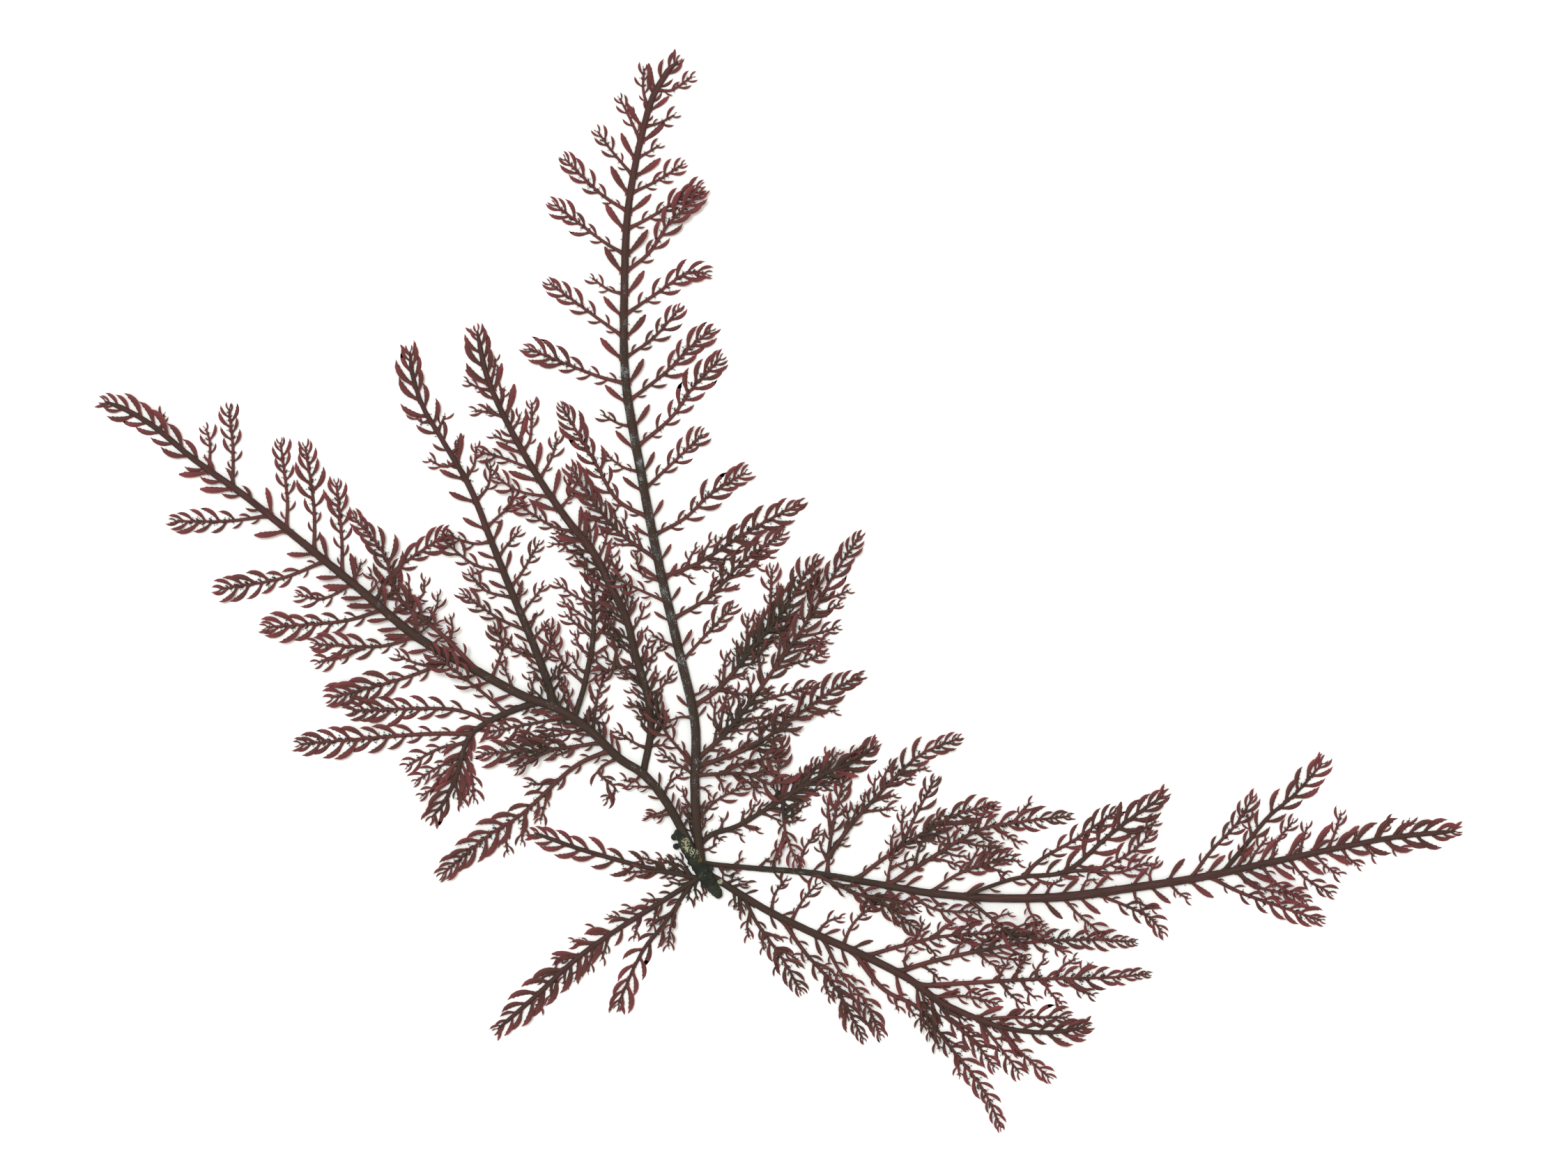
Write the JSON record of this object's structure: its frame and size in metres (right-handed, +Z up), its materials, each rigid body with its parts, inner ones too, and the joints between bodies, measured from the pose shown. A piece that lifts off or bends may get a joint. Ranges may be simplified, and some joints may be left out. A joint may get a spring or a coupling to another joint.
{
  "type": "pressed red seaweed",
  "caption": "Pressed fern-like red seaweed lying flat: toothed, feathery fronds with compressed stems spread from a small dark holdfast.",
  "frame": {"origin": "middle of the holdfast's flat underside, on the surface that the seaweed lies on", "axes": "+Z up, away from the surface; +Y along the tall crown frond; +X along the long right frond"},
  "size_m": [0.3004, 0.239, 0.0034],
  "materials": {
    "seaweed_red": "dried seaweed, matte to satin, dark wine red",
    "holdfast_dark": "dried holdfast, rough, greenish black with pale crust"
  },
  "bodies": {
    "root": {"holdfast": "holdfast_dark", "crown_frond": "seaweed_red", "low_right_branch": "seaweed_red", "left_frond": "seaweed_red", "outer_left_frond": "seaweed_red", "middle_left_frond": "seaweed_red", "inner_left_frond": "seaweed_red", "short_left_frond": "seaweed_red", "lower_left_frond": "seaweed_red", "small_lower_frond": "seaweed_red", "right_frond": "seaweed_red", "lower_right_frond": "seaweed_red"}
  },
  "joints": []
}
